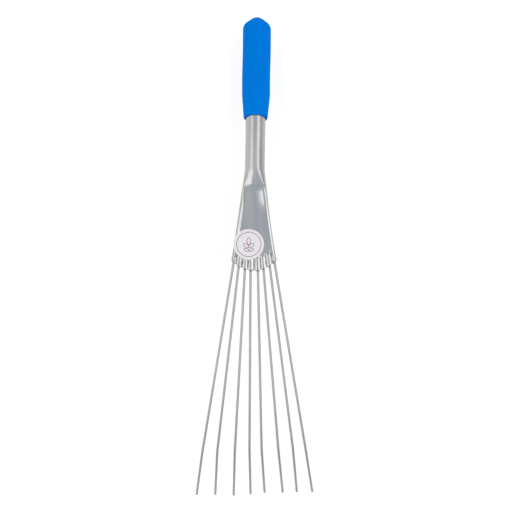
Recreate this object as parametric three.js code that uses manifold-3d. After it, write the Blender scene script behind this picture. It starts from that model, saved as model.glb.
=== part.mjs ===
// Hand rake: a steel tube is pressed flat into a fan shaped head, the head is crimped round
// eight spring wire tines, and a vinyl sleeve with a closed end is pushed over the tube.
// Millimetres. The rake is drawn with its long axis on Y, its face on +Z, the wires' plane at
// Z = 0 and the middle of the crimped edge at the origin. At the end it is laid down on its
// sleeve and on the tips of its tines.
import * as THREE from 'three';
import { mergeVertices } from 'three/addons/utils/BufferGeometryUtils.js';
import Module from 'manifold-3d';

const wasm = await Module();
wasm.setup();

const { clamp, degToRad, lerp, smoothstep } = THREE.MathUtils;

// Sheet and fits
const sheetThickness = 1;
const fitGap = 0.3;
const cutOverrun = 2;

// Tube, and how far it leans away from the head's middle line
const tubeDiameter = 20;
const bareTubeLength = 48.9;
const handleLean = degToRad(0.9);
const leanPivotY = 52;

// Head in plan: a neck that flares into a fan with a bulging lower edge
const neckLength = 23.5;
const headLength = 83;
const headWidth = 46.1;
const flareSetback = 3;
const flareStraightShare = 0.83;
const edgeBulge = 11.7;

// Neck in section: the crown falls in a cone and then in the step where the press closed. The
// right side rounds into a shoulder early, and the left side carries a flat facet to the step.
const coneLength = 17.5;
const coneEndHeight = 7.3;
const stepLength = 9;
const rightTurnLength = 20.5;
const facetAngle = degToRad(18.5);
const facetStart = 2.2;
const facetDrift = 2;
const facetShoulder = 5.4;
const facetTurnLength = 18;

// Pan in section: a rounded shoulder along each side, with a ridge inside it below the step
const leftShoulder = 6;
const rightShoulder = 3.6;
const edgeShoulder = 3.3;
const leftRidge = 0.45;
const rightRidge = 1.8;
const ridgeCrest = 0.6;
const ridgeFlank = 8;
const ridgeBend = 1.5;
const ridgeSetback = 1.5;
const ridgeRiseLength = 7;
const ridgeFullLength = 14;
const ridgeLength = 38;

// Crimps: long dimples with straight flanks that press the sheets in between the wires. The
// rim has a round lobe over each wire and a notch between two.
const crimpLength = 17.5;
const crimpRampLength = 4;
const crimpRoundLength = 3;
const crimpDepth = 0.95;
const crimpSharpness = 0.88;
const scallopDepth = 1.3;
const lobeArcShare = 0.95;

// Tines, from left to right
const wireDiameter = 2.5;
const wireRootLength = 24;
const tineReach = 182;
const tipLength = 66;
const tipDropAngle = degToRad(22);
const tipBendRadius = 14;
const tipChamfer = 0.5;
const exitShares = [-0.9, -0.68, -0.404, -0.153, 0.172, 0.424, 0.698, 0.907];
const spreadDegrees = [-9.38, -6.6, -3.17, -0.34, 1.19, 4.69, 7.23, 9.45];
const reachShares = [1.01, 1.006, 1.01, 1.001, 0.993, 0.994, 0.991, 0.994];
const tipSetDegrees = [-0.1, 1.9, 0.6, 1, 2.3, 1.3, -0.7, 0.8];

// Grip sleeve
const gripLength = 100.2;
const gripDiameter = 28.5;
const gripMouthDiameter = 24.6;
const gripTaperLength = 24;
const gripLipRadius = 1.6;
const gripShoulderRadius = 3;
const gripEndAngle = degToRad(45);
const gripCrownRadius = 2;
const gripCrownFillet = 8.3;
const gripEndWall = 4;

// Label
const labelDiameter = 30.8;
const labelThickness = 0.25;
const labelCentreX = -5.25;
const labelCentreY = 27.55;
const labelStiffShare = 0.65;

// Facets
const sideSteps = 7;
const flankSteps = 3;
const neckRows = 13;
const panRows = 10;
const panRowCrowding = 1.5;
const crimpRows = 9;
const cavitySteps = 18;
const wireSides = 12;
const bendSteps = 6;
const gripSides = 48;
const arcSteps = 4;
const labelRingShares = [0.4, 0.7, 0.84, 0.93, 1];
const labelSides = 40;

// Sizes that follow
const tubeRadius = tubeDiameter / 2;
const wireRadius = wireDiameter / 2;
const boreRadius = wireRadius + fitGap;
const panHalfThickness = boreRadius + sheetThickness;
const halfHeadWidth = headWidth / 2;
const edgeRadius = (halfHeadWidth ** 2 + edgeBulge ** 2) / (2 * edgeBulge);
const neckTopY = headLength + neckLength;
const flareTopY = neckTopY - flareSetback;
const stepTopY = neckTopY - coneLength;
const gripMouthY = neckTopY + bareTubeLength;
const gripRadius = gripDiameter / 2;
const gripBoreRadius = tubeRadius + fitGap;

// Plan of the head

// The crimped edge is an arc that bulges down between the two sides
function edgeY(x) {
  return edgeRadius - Math.sqrt(edgeRadius ** 2 - x ** 2);
}

function sideHalfWidth(y) {
  const along = Math.max((flareTopY - y) / (flareTopY - edgeBulge), 0);
  const spread = flareStraightShare * along + (1 - flareStraightShare) * along ** 2;
  return lerp(tubeRadius, halfHeadWidth, spread);
}

// Everything above the pan swings about a pivot on the pan, so that the handle leans
function leaned(x, y, z) {
  const turn = -handleLean * smoothstep(y, 0, 2 * leanPivotY);
  const point = new THREE.Vector3(x, y - leanPivotY, z);
  point.applyAxisAngle(new THREE.Vector3(0, 0, 1), turn);
  point.y += leanPivotY;
  return point;
}

// Each wire leaves the head on the crimped edge and spreads at its own angle
const tines = exitShares.map((exitShare, i) => {
  const exitX = exitShare * halfHeadWidth;
  return {
    exitX,
    exitY: edgeY(exitX),
    spread: degToRad(spreadDegrees[i]),
    bendY: -tineReach * reachShares[i],
    tipSet: degToRad(tipSetDegrees[i]),
  };
});

function wireX(tine, y) {
  return tine.exitX + Math.tan(tine.spread) * (tine.exitY - y);
}

// 0 on a wire and 1 halfway between two wires, in nearly straight flanks
function valleyShare(x, y) {
  for (let i = 1; i < tines.length; i++) {
    const left = wireX(tines[i - 1], y);
    const right = wireX(tines[i], y);
    if (x > left && x < right) {
      const swing = Math.asin(crimpSharpness * Math.cos((2 * Math.PI * (x - left)) / (right - left)));
      return 0.5 - swing / (2 * Math.asin(crimpSharpness));
    }
  }
  return 0;
}

function rimY(x) {
  const across = lobeArcShare * valleyShare(x, edgeY(x));
  const lobe = (1 - Math.sqrt(1 - across ** 2)) / (1 - Math.sqrt(1 - lobeArcShare ** 2));
  return edgeY(x) + scallopDepth * lobe;
}

// Section of the head: half its thickness at a place in plan, with the skin moved in by inset

// A flat top at some height that falls in a quarter ellipse over the shoulder's width
function rounded(height, inward, shoulder) {
  const offTop = clamp(1 - inward / shoulder, 0, 1);
  return height * Math.sqrt(1 - offTop ** 2);
}

function shoulderWidth(x, y) {
  const lowShare = clamp((headLength - y) / headLength, 0, 1);
  if (x < 0) return lerp(leftShoulder, edgeShoulder, lowShare);
  const turn = smoothstep(neckTopY - y, 0, rightTurnLength);
  return lerp(sideHalfWidth(y), lerp(rightShoulder, edgeShoulder, lowShare), turn);
}

function neckHeight(x, y, inset) {
  const inward = sideHalfWidth(y) - inset - Math.abs(x);
  const cone = smoothstep(neckTopY - y, 0, coneLength);
  const crown = lerp(tubeRadius, coneEndHeight, cone) - inset;
  if (x >= 0) return rounded(crown, inward, shoulderWidth(x, y) - inset);
  const turn = smoothstep(neckTopY - y, 0, facetTurnLength);
  const pastStart = Math.max(-x - facetStart - facetDrift * turn, 0);
  const wall = rounded(crown, inward, lerp(sideHalfWidth(y), facetShoulder, turn) - inset);
  return Math.min(wall, crown - Math.tan(facetAngle) * pastStart);
}

function panHeight(x, y, inset) {
  const inward = sideHalfWidth(y) - inset - Math.abs(x);
  const shoulder = shoulderWidth(x, y) - inset;
  const below = stepTopY - ridgeSetback - y;
  const rise = smoothstep(below, 0, ridgeRiseLength);
  const fall = smoothstep(below, ridgeFullLength, ridgeLength);
  const ridge = (x < 0 ? leftRidge : rightRidge) * rise * (1 - fall);
  const downFlank = clamp((inward - shoulder - ridgeCrest) / ridgeFlank, 0, 1);
  const top = panHalfThickness - inset + ridge * (1 - downFlank) ** ridgeBend;
  return rounded(top, inward, shoulder);
}

function faceHeight(x, y, inset = 0) {
  const step = smoothstep(stepTopY - y, 0, stepLength);
  return lerp(neckHeight(x, y, inset), panHeight(x, y, inset), step);
}

function crimpedHeight(x, y) {
  const face = faceHeight(x, y);
  const valley = valleyShare(x, y);
  const reach = crimpLength - crimpRoundLength * (1 - valley) - (y - edgeY(x));
  const pressed = valley * smoothstep(reach, 0, crimpRampLength);
  return face - clamp(face - sheetThickness, 0, crimpDepth) * pressed;
}

// A closed skin over rings of points. A ring starts on one side, runs over the front to the
// other side and comes back behind, so a strip between its two halves closes each end.
function loft(rings) {
  const count = rings[0].length;
  const index = [];
  const addTriangle = (a, b, c) => {
    if (a !== b && b !== c && c !== a) index.push(a, b, c);
  };
  const addQuad = (a, b, c, d) => {
    addTriangle(a, b, c);
    addTriangle(a, c, d);
  };
  for (let row = 0; row + 1 < rings.length; row++) {
    const here = row * count;
    const next = here + count;
    for (let k = 0; k < count; k++) {
      const after = (k + 1) % count;
      addQuad(here + k, here + after, next + after, next + k);
    }
  }
  const last = (rings.length - 1) * count;
  for (let k = 0; k < count / 2; k++) {
    const behind = (count - k) % count;
    const behindNext = count - k - 1;
    addQuad(k, behind, behindNext, k + 1);
    addQuad(last + k, last + k + 1, last + behindNext, last + behind);
  }
  const geometry = new THREE.BufferGeometry().setFromPoints(rings.flat());
  geometry.setIndex(index);
  geometry.computeVertexNormals();
  return geometry;
}

// Solids for cutting, and back again
function toSolid(geometry) {
  const bare = geometry.clone();
  bare.deleteAttribute('normal');
  bare.deleteAttribute('uv');
  const welded = mergeVertices(bare);
  const vertProperties = new Float32Array(welded.attributes.position.array);
  const triVerts = new Uint32Array(welded.index.array);
  return new wasm.Manifold(new wasm.Mesh({ numProp: 3, vertProperties, triVerts }));
}

function toGeometry(solid) {
  const { vertProperties, triVerts } = solid.getMesh();
  const geometry = new THREE.BufferGeometry();
  geometry.setAttribute('position', new THREE.Float32BufferAttribute(vertProperties, 3));
  geometry.setIndex([...triVerts]);
  geometry.computeVertexNormals();
  return geometry;
}

// Shank and head

// Columns of the head's skin as shares of its half width: close together towards each side and
// over each flank of a crimp, with one column on every wire and one in every valley
function sideColumns(wireShare) {
  const shares = [];
  for (let i = 0; i < sideSteps; i++) {
    const quarterTurn = (Math.PI / 2) * (i / sideSteps);
    shares.push(1 - (1 - wireShare) * (1 - Math.cos(quarterTurn)));
  }
  return shares;
}

function skinColumns() {
  const shares = sideColumns(exitShares.at(-1));
  const stops = [...exitShares].reverse();
  for (let i = 0; i + 1 < stops.length; i++) {
    for (let step = 0; step < 2 * flankSteps; step++) {
      shares.push(lerp(stops[i], stops[i + 1], step / (2 * flankSteps)));
    }
  }
  shares.push(stops.at(-1));
  const leftSide = sideColumns(-exitShares[0]).map((share) => -share);
  return [...shares, ...leftSide.reverse()];
}

// One ring round the head. At edgeShare 0 it lies straight across the top of the pan, and at
// edgeShare 1 it follows the crimped edge.
function headRing(columns, sideY, edgeShare, inset, height) {
  const halfWidth = sideHalfWidth(sideY) - inset;
  const front = [];
  const back = [];
  for (const share of columns) {
    const x = share * halfWidth;
    const y = sideY + edgeShare * (rimY(x) - edgeBulge);
    const z = Math.abs(share) === 1 ? 0 : height(x, y);
    front.push(leaned(x, y, z));
    back.push(leaned(x, y, -z));
  }
  return [...front, ...back.slice(1, -1).reverse()];
}

function headRings(columns, inset, height, tubeEndY, lastShare, rowsBelowPan) {
  const rings = [headRing(columns, tubeEndY, 0, inset, height)];
  for (let row = 0; row <= neckRows; row++) {
    const y = lerp(neckTopY, headLength, row / neckRows);
    rings.push(headRing(columns, y, 0, inset, height));
  }
  const panShare = 1 - (crimpLength + fitGap) / headLength;
  for (let row = 1; row <= panRows; row++) {
    const share = panShare * (row / panRows) ** panRowCrowding;
    const y = lerp(headLength, edgeBulge, share);
    rings.push(headRing(columns, y, share, inset, height));
  }
  for (let row = 1; row <= rowsBelowPan; row++) {
    const share = lerp(panShare, lastShare, row / rowsBelowPan);
    const y = lerp(headLength, edgeBulge, share);
    rings.push(headRing(columns, y, share, inset, height));
  }
  return rings;
}

function makeHead() {
  const tubeEndY = gripMouthY + gripLength - gripEndWall - gripRadius;
  const skin = toSolid(loft(headRings(skinColumns(), 0, crimpedHeight, tubeEndY, 1, crimpRows)));

  const roundColumns = [];
  for (let i = 0; i <= cavitySteps; i++) {
    roundColumns.push(i === 0 ? 1 : i === cavitySteps ? -1 : Math.cos((Math.PI * i) / cavitySteps));
  }
  const insideHeight = (x, y) => faceHeight(x, y, sheetThickness);
  const cavityRings = headRings(
    roundColumns, sheetThickness, insideHeight, tubeEndY + cutOverrun, 0, 0);
  let head = skin.subtract(toSolid(loft(cavityRings)));

  for (const tine of tines) {
    const boreLength = wireRootLength + fitGap + cutOverrun;
    const bore = new THREE.CylinderGeometry(boreRadius, boreRadius, boreLength, wireSides);
    bore.translate(0, boreLength / 2 - cutOverrun, 0);
    bore.rotateZ(tine.spread);
    bore.translate(tine.exitX, tine.exitY, 0);
    head = head.subtract(toSolid(bore));
  }
  return toGeometry(head);
}

// Tine, with its exit from the head at the origin and its straight run down -Y
function makeTine(tine) {
  const reach = (tine.exitY - tine.bendY) / Math.cos(tine.spread);
  const tipDirection = new THREE.Vector3(0, -Math.cos(tipDropAngle), -Math.sin(tipDropAngle));
  tipDirection.applyAxisAngle(new THREE.Vector3(0, 0, 1), tine.tipSet);
  const corner = new THREE.Vector3(0, -reach, 0);
  const bendTangent = tipBendRadius * Math.tan(tipDropAngle / 2);
  const bendStart = new THREE.Vector3(0, bendTangent - reach, 0);
  const bendEnd = corner.clone().addScaledVector(tipDirection, bendTangent);
  const bend = new THREE.QuadraticBezierCurve3(bendStart, corner, bendEnd);
  const tipEnd = corner.clone().addScaledVector(tipDirection, tipLength);

  const straightDown = new THREE.Vector3(0, -1, 0);
  const stations = [{ at: new THREE.Vector3(0, wireRootLength, 0), along: straightDown }];
  for (let step = 0; step <= bendSteps; step++) {
    const share = step / bendSteps;
    stations.push({ at: bend.getPoint(share), along: bend.getTangent(share) });
  }
  const chamferStart = tipEnd.clone().addScaledVector(tipDirection, -tipChamfer);
  stations.push({ at: chamferStart, along: tipDirection });
  stations.push({ at: tipEnd, along: tipDirection, radius: wireRadius - tipChamfer });

  const rings = stations.map(({ at, along, radius = wireRadius }) => {
    const across = new THREE.Vector3(1, 0, 0).addScaledVector(along, -along.x).normalize();
    const up = new THREE.Vector3().crossVectors(along, across);
    const ring = [];
    for (let k = 0; k < wireSides; k++) {
      const angle = (2 * Math.PI * k) / wireSides;
      const point = at.clone().addScaledVector(across, radius * Math.cos(angle));
      ring.push(point.addScaledVector(up, radius * Math.sin(angle)));
    }
    return ring;
  });
  return loft(rings);
}

// Grip, with its open mouth at Y = 0: a plain sleeve that tapers to a rolled lip at the mouth
// and ends in a chamfered, slightly flattened crown
function arcPoints(centre, radius, startAngle, endAngle) {
  const points = [];
  for (let step = 0; step <= arcSteps; step++) {
    const angle = lerp(startAngle, endAngle, step / arcSteps);
    const x = centre.x + radius * Math.cos(angle);
    points.push(new THREE.Vector2(x, centre.y + radius * Math.sin(angle)));
  }
  return points;
}

function makeGrip() {
  const mouthRadius = gripMouthDiameter / 2;
  const filletRise = gripCrownFillet * (1 - Math.cos(gripEndAngle));
  const filletRun = gripCrownFillet * Math.sin(gripEndAngle);
  const shoulderRun = gripShoulderRadius * (1 - Math.sin(gripEndAngle));
  const shoulderRise = gripShoulderRadius * Math.cos(gripEndAngle);
  const coneRun = gripRadius - shoulderRun - gripCrownRadius - filletRun;
  const coneRise = coneRun * Math.tan(gripEndAngle);
  const shoulderY = gripLength - filletRise - coneRise - shoulderRise;
  const seatY = gripLength - gripEndWall - gripRadius + fitGap;

  const lip = arcPoints(
    new THREE.Vector2(mouthRadius - gripLipRadius, gripLipRadius), gripLipRadius, -Math.PI / 2, 0);
  const shoulder = arcPoints(
    new THREE.Vector2(gripRadius - gripShoulderRadius, shoulderY), gripShoulderRadius,
    0, Math.PI / 2 - gripEndAngle);
  const crown = arcPoints(
    new THREE.Vector2(gripCrownRadius, gripLength - gripCrownFillet), gripCrownFillet,
    Math.PI / 2 - gripEndAngle, Math.PI / 2);
  const profile = [
    new THREE.Vector2(0, seatY + gripBoreRadius - gripCrownRadius),
    new THREE.Vector2(gripCrownRadius, seatY + gripBoreRadius - gripCrownRadius),
    new THREE.Vector2(gripBoreRadius, seatY),
    new THREE.Vector2(gripBoreRadius, 0),
    ...lip,
    new THREE.Vector2(gripRadius, gripTaperLength),
    ...shoulder,
    ...crown,
    new THREE.Vector2(0, gripLength),
  ];
  return new THREE.LatheGeometry(profile, gripSides);
}

// Label: a thin round sticker that follows the pan. Over the left shoulder it bends down less
// than the sheet does, because it is stiff.
function labelHeight(x, y) {
  const face = faceHeight(x, y);
  return lerp(face, Math.max(face, panHalfThickness), labelStiffShare);
}

function makeLabel() {
  const probe = labelThickness;
  const offFace = (x, y, distance) => {
    const z = labelHeight(x, y);
    const slopeX = (labelHeight(x + probe, y) - labelHeight(x - probe, y)) / (2 * probe);
    const slopeY = (labelHeight(x, y + probe) - labelHeight(x, y - probe)) / (2 * probe);
    const normal = new THREE.Vector3(-slopeX, -slopeY, 1).normalize();
    const point = new THREE.Vector3(x, y, z).addScaledVector(normal, distance);
    return leaned(point.x, point.y, point.z);
  };
  const points = [];
  for (const distance of [fitGap, fitGap + labelThickness]) {
    points.push(offFace(labelCentreX, labelCentreY, distance));
    for (const ringShare of labelRingShares) {
      const radius = (labelDiameter / 2) * ringShare;
      for (let k = 0; k < labelSides; k++) {
        const angle = (2 * Math.PI * k) / labelSides;
        const x = labelCentreX + radius * Math.cos(angle);
        points.push(offFace(x, labelCentreY + radius * Math.sin(angle), distance));
      }
    }
  }
  const labelRings = labelRingShares.length;
  const layer = 1 + labelRings * labelSides;
  const at = (side, ring, k) => side * layer + 1 + (ring - 1) * labelSides + (k % labelSides);
  const index = [];
  for (let k = 0; k < labelSides; k++) {
    index.push(0, at(0, 1, k + 1), at(0, 1, k));
    index.push(layer, at(1, 1, k), at(1, 1, k + 1));
    for (let ring = 1; ring < labelRings; ring++) {
      const [a, b] = [at(0, ring, k), at(0, ring, k + 1)];
      const [c, d] = [at(0, ring + 1, k + 1), at(0, ring + 1, k)];
      index.push(a, b, c, a, c, d);
      index.push(a + layer, c + layer, b + layer, a + layer, d + layer, c + layer);
    }
    const [a, b] = [at(0, labelRings, k), at(0, labelRings, k + 1)];
    index.push(a, b, b + layer, a, b + layer, a + layer);
  }
  const geometry = new THREE.BufferGeometry().setFromPoints(points);
  geometry.setIndex(index);
  geometry.computeVertexNormals();
  return geometry;
}

// Materials
const steel = new THREE.MeshStandardMaterial({ color: 0xb4b2ae, roughness: 0.35, metalness: 1 });
const wire = new THREE.MeshStandardMaterial({ color: 0xa3a09a, roughness: 0.4, metalness: 1 });
const vinyl = new THREE.MeshStandardMaterial({ color: 0x0077dc, roughness: 0.55, metalness: 0 });
const paper = new THREE.MeshStandardMaterial({ color: 0xe8e8e4, roughness: 0.6, metalness: 0 });

// Assembly
const tool = new THREE.Group();

const head = new THREE.Mesh(makeHead(), steel);
head.name = 'shank_head';
tool.add(head);

tines.forEach((tine, i) => {
  const mesh = new THREE.Mesh(makeTine(tine), wire);
  mesh.name = `tine_${i + 1}`;
  mesh.position.set(tine.exitX, tine.exitY, 0);
  mesh.rotation.z = tine.spread;
  tool.add(mesh);
});

const handle = new THREE.Group();
handle.position.y = leanPivotY;
handle.rotation.z = -handleLean;
const grip = new THREE.Mesh(makeGrip(), vinyl);
grip.name = 'grip';
grip.position.y = gripMouthY - leanPivotY;
handle.add(grip);
tool.add(handle);

const label = new THREE.Mesh(makeLabel(), paper);
label.name = 'label';
tool.add(label);

// Laid down: the sleeve's shoulder and the tips of the tines touch the ground together
const tipLowY = -tineReach - tipLength * Math.cos(tipDropAngle);
const tipLowZ = -tipLength * Math.sin(tipDropAngle) - wireRadius;
const shoulderTopY = gripMouthY + gripLength - gripRadius;
tool.rotation.x = -Math.atan2(-gripRadius - tipLowZ, shoulderTopY - tipLowY);

const rake = new THREE.Group();
rake.add(tool);
rake.updateMatrixWorld(true);
const box = new THREE.Box3().setFromObject(rake, true);
tool.position.set(-(box.min.x + box.max.x) / 2, -(box.min.y + box.max.y) / 2, -box.min.z);

export default rake;
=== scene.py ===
# %% [markdown]
# Hand rake
#
# A short garden rake is mostly one piece of steel tube. Its lower end is pressed flat and flared
# into a fan, the fan's edge is crimped round eight spring wires, and a blue vinyl sleeve is
# pushed over the other end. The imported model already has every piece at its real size, so this
# lesson loads it first and then gives each piece the smooth surface and finish of the real one.

# %% Load the frame
from math import atan2, cos, degrees, pi, radians, sin, sqrt, tan

import bmesh
import bpy
import numpy as np
from mathutils import Matrix, Vector


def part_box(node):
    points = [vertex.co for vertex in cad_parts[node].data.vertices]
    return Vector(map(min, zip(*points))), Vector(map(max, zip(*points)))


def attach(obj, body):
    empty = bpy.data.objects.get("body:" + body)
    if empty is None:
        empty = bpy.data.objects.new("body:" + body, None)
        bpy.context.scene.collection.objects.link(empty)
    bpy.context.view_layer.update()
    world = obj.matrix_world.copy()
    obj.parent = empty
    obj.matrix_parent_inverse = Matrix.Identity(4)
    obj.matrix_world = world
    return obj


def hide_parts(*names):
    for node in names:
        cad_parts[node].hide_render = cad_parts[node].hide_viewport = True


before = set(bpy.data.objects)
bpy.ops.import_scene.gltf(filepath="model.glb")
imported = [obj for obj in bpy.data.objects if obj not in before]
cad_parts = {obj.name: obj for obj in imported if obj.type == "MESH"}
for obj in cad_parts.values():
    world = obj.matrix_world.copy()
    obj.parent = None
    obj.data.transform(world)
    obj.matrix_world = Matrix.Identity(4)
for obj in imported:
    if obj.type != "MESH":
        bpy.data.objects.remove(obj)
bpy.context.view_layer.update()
print("packed nodes:", sorted(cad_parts))

# %% [markdown]
# Sizes come before shapes. They are the real sizes of the tool in metres, the same ones that the
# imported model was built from, so that a smooth piece lands exactly where its faceted twin lies.
# A place that follows a larger size is a share of it, such as where a wire leaves the edge.

# %% Sizes of the real tool
MM = 0.001

# Tube
TUBE_RADIUS = 10 * MM
BARE_TUBE = 48.9 * MM
HANDLE_LEAN = radians(0.9)
LEAN_PIVOT_Y = 52 * MM

# Head in plan
NECK_LENGTH = 23.5 * MM
HEAD_LENGTH = 83 * MM
HEAD_HALF_WIDTH = 23.05 * MM
FLARE_SETBACK = 3 * MM
FLARE_STRAIGHT_SHARE = 0.91
EDGE_BULGE = 11.7 * MM

# Sheet metal and pan
SHEET = 1 * MM
PAN_HALF_THICKNESS = 2.55 * MM

# Neck in section: a cone, then a step down to the pan
CONE_LENGTH = 16.5 * MM
CONE_END_HEIGHT = 7.3 * MM
STEP_LENGTH = 8.5 * MM
RIGHT_TURN_LENGTH = 20.5 * MM

# Flat facet on the left of the neck
FACET_ANGLE = radians(18.5)
FACET_START = 2.2 * MM
FACET_NEAREST = 1.1 * MM
FACET_ENTRY_LENGTH = 7 * MM
FACET_CREASE_TOP = 0.4 * MM
FACET_CREASE_END = 2.5 * MM
FACET_CREASE_LENGTH = 15 * MM
FACET_SHOULDER = 8.2 * MM
FACET_TURN_START = 9 * MM
FACET_TURN_END = 22 * MM

# Sides of the pan: a fold, a bevel inside it and a ridge inside that
BEVEL_ANGLE = radians(18.5)
BEVEL_CREASE = 0.8 * MM
FOLD_POWER = 0.72
RIGHT_FOLD = 1.9 * MM
RIGHT_BEVEL = 3.3 * MM
LEFT_FOLD_TOP = 1.5 * MM
LEFT_FOLD = 3.4 * MM
LEFT_BEVEL_TOP = 2.4 * MM
LEFT_BEVEL = 5 * MM
LEFT_OPENING_Y = 85 * MM
LEFT_OPENING_LENGTH = 26 * MM
LEFT_CLOSING_Y = 44 * MM
LEFT_CLOSING_LENGTH = 36 * MM
RIGHT_SHOULDER = 3.6 * MM
EDGE_SHOULDER = 3.3 * MM
LEFT_RIDGE = 0.45 * MM
RIGHT_RIDGE = 2 * MM
RIDGE_CREST = 0.9 * MM
LEFT_RIDGE_FLANK = 5 * MM
RIGHT_RIDGE_FLANK = 8 * MM
RIDGE_BEND = 1.4
RIDGE_SETBACK = 2.7 * MM
RIDGE_RISE_LENGTH = 7 * MM
RIDGE_FULL_LENGTH = 14 * MM
RIDGE_LENGTH = 38 * MM

# Crimps round the wires
CRIMP_LENGTH = 17.5 * MM
CRIMP_RAMP = 4 * MM
CRIMP_ROUND = 3 * MM
CRIMP_SLOPE = 0.24
CRIMP_SHARPNESS = 0.6
SCALLOP = 1.3 * MM
LOBE_ARC_SHARE = 0.95

# Tines, from left to right
WIRE_RADIUS = 1.25 * MM
WIRE_ROOT = 24 * MM
TINE_REACH = 182 * MM
TIP_LENGTH = 66 * MM
TIP_DROP = radians(22)
TIP_BEND_RADIUS = 14 * MM
EXIT_SHARES = [-0.9, -0.68, -0.404, -0.153, 0.172, 0.424, 0.698, 0.907]
SPREAD_DEGREES = [-9.38, -6.6, -3.17, -0.34, 1.19, 4.69, 7.23, 9.45]
REACH_SHARES = [1.01, 1.006, 1.01, 1.001, 0.993, 0.994, 0.991, 0.994]
TIP_SET_DEGREES = [-0.1, 1.9, 0.6, 1, 2.3, 1.3, -0.7, 0.8]

# Grip
FIT_GAP = 0.3 * MM
GRIP_LENGTH = 100.2 * MM
GRIP_RADIUS = 14.25 * MM
GRIP_MOUTH_RADIUS = 12.3 * MM
GRIP_TAPER = 24 * MM
GRIP_END_WALL = 4 * MM

# Label
LABEL_RADIUS = 15.4 * MM
LABEL_X = -5.25 * MM
LABEL_Y = 27.55 * MM

# Sizes that follow
NECK_TOP_Y = HEAD_LENGTH + NECK_LENGTH
FLARE_TOP_Y = NECK_TOP_Y - FLARE_SETBACK
STEP_TOP_Y = NECK_TOP_Y - CONE_LENGTH
GRIP_MOUTH_Y = NECK_TOP_Y + BARE_TUBE
EDGE_RADIUS = (HEAD_HALF_WIDTH**2 + EDGE_BULGE**2) / (2 * EDGE_BULGE)
print(f"edge to crown: {(GRIP_MOUTH_Y + GRIP_LENGTH) / MM:.0f} mm")

# %% [markdown]
# Every piece here is a skin over rings: the head, the wires, the grip and the label. One helper
# turns a stack of rings into a closed mesh. Small smooth functions, such as smoothstep, do the
# blending that a press or a hand does on the real tool.

# %% Helpers for blends and skins
WELD_DISTANCE = 0.0005 * MM
SMOOTH_DEGREES = 50


def lerp(a, b, share):
    return a + (b - a) * share


def smoothstep(value, low, high):
    share = np.clip((value - low) / (high - low), 0, 1)
    return share * share * (3 - 2 * share)


def skin_over(name, rings, smooth_degrees=SMOOTH_DEGREES):
    """A closed mesh over rings of points, which all have as many points, with its ends filled."""
    rings = np.asarray(rings, dtype=float)
    rows, count = rings.shape[:2]
    corners = [tuple(p) for p in rings.reshape(-1, 3)]
    faces = []
    for row in range(rows - 1):
        here, below = row * count, (row + 1) * count
        for k in range(count):
            after = (k + 1) % count
            faces.append((here + k, here + after, below + after, below + k))
    faces.append(tuple(reversed(range(count))))
    faces.append(tuple(range((rows - 1) * count, rows * count)))
    return mesh_object(name, corners, faces, smooth_degrees)


def mesh_object(name, corners, faces, smooth_degrees):
    mesh = bpy.data.meshes.new(name)
    mesh.from_pydata(corners, [], faces)
    work = bmesh.new()
    work.from_mesh(mesh)
    bmesh.ops.remove_doubles(work, verts=work.verts, dist=WELD_DISTANCE)
    bmesh.ops.recalc_face_normals(work, faces=work.faces)
    work.to_mesh(mesh)
    work.free()
    mesh.shade_smooth()
    mesh.set_sharp_from_angle(angle=radians(smooth_degrees))
    piece = bpy.data.objects.new(name, mesh)
    bpy.context.scene.collection.objects.link(piece)
    return piece


# %% [markdown]
# The head in plan. Its sides flare in a shallow curve, its lower edge is an arc that bulges
# down, and the handle leans a little away from the middle of the fan, as a hand-pressed tool's
# does. Each wire leaves the edge at its own place and angle.


# %% The head in plan
def edge_y(x):
    """The arc of the crimped edge, measured up from its lowest point."""
    return EDGE_RADIUS - np.sqrt(EDGE_RADIUS**2 - np.square(x))


def side_half_width(y):
    """Half the head's width, which flares from the tube down to the crimped edge."""
    along = np.maximum((FLARE_TOP_Y - y) / (FLARE_TOP_Y - EDGE_BULGE), 0)
    spread = FLARE_STRAIGHT_SHARE * along + (1 - FLARE_STRAIGHT_SHARE) * along**2
    return lerp(TUBE_RADIUS, HEAD_HALF_WIDTH, spread)


def leaned(x, y, z):
    """Turns points by the handle's lean, which grows up the head to its full angle."""
    turn = -HANDLE_LEAN * smoothstep(y, 0, 2 * LEAN_PIVOT_Y)
    from_pivot = y - LEAN_PIVOT_Y
    x_out = x * np.cos(turn) - from_pivot * np.sin(turn)
    y_out = LEAN_PIVOT_Y + x * np.sin(turn) + from_pivot * np.cos(turn)
    return np.stack(np.broadcast_arrays(x_out, y_out, z), axis=-1)


EXIT_X = np.array(EXIT_SHARES) * HEAD_HALF_WIDTH
EXIT_Y = edge_y(EXIT_X)
SPREAD = np.radians(SPREAD_DEGREES)


def wire_x(i, y):
    """Where a wire's line crosses some height on the head."""
    return EXIT_X[i] + np.tan(SPREAD[i]) * (EXIT_Y[i] - y)


def valley_and_gap(x, y):
    """0 on a wire and 1 halfway between two wires, and how wide the gap between the two is."""
    valley = np.zeros(np.broadcast(x, y).shape)
    width = np.zeros_like(valley)
    for i in range(1, len(EXIT_X)):
        left, right = wire_x(i - 1, y), wire_x(i, y)
        inside = (x > left) & (x < right)
        swing = np.arcsin(CRIMP_SHARPNESS * np.cos(2 * pi * (x - left) / (right - left)))
        wave = 0.5 - swing / (2 * np.arcsin(CRIMP_SHARPNESS))
        valley = np.where(inside, wave, valley)
        width = np.where(inside, right - left, width)
    return valley, width


def valley_share(x, y):
    return valley_and_gap(x, y)[0]


def rim_y(x):
    """The head's lower rim: an arc, with a round lobe over each wire and a notch between two."""
    across = LOBE_ARC_SHARE * valley_share(x, edge_y(x))
    lobe = (1 - np.sqrt(1 - across**2)) / (1 - sqrt(1 - LOBE_ARC_SHARE**2))
    return edge_y(x) + SCALLOP * lobe


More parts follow.
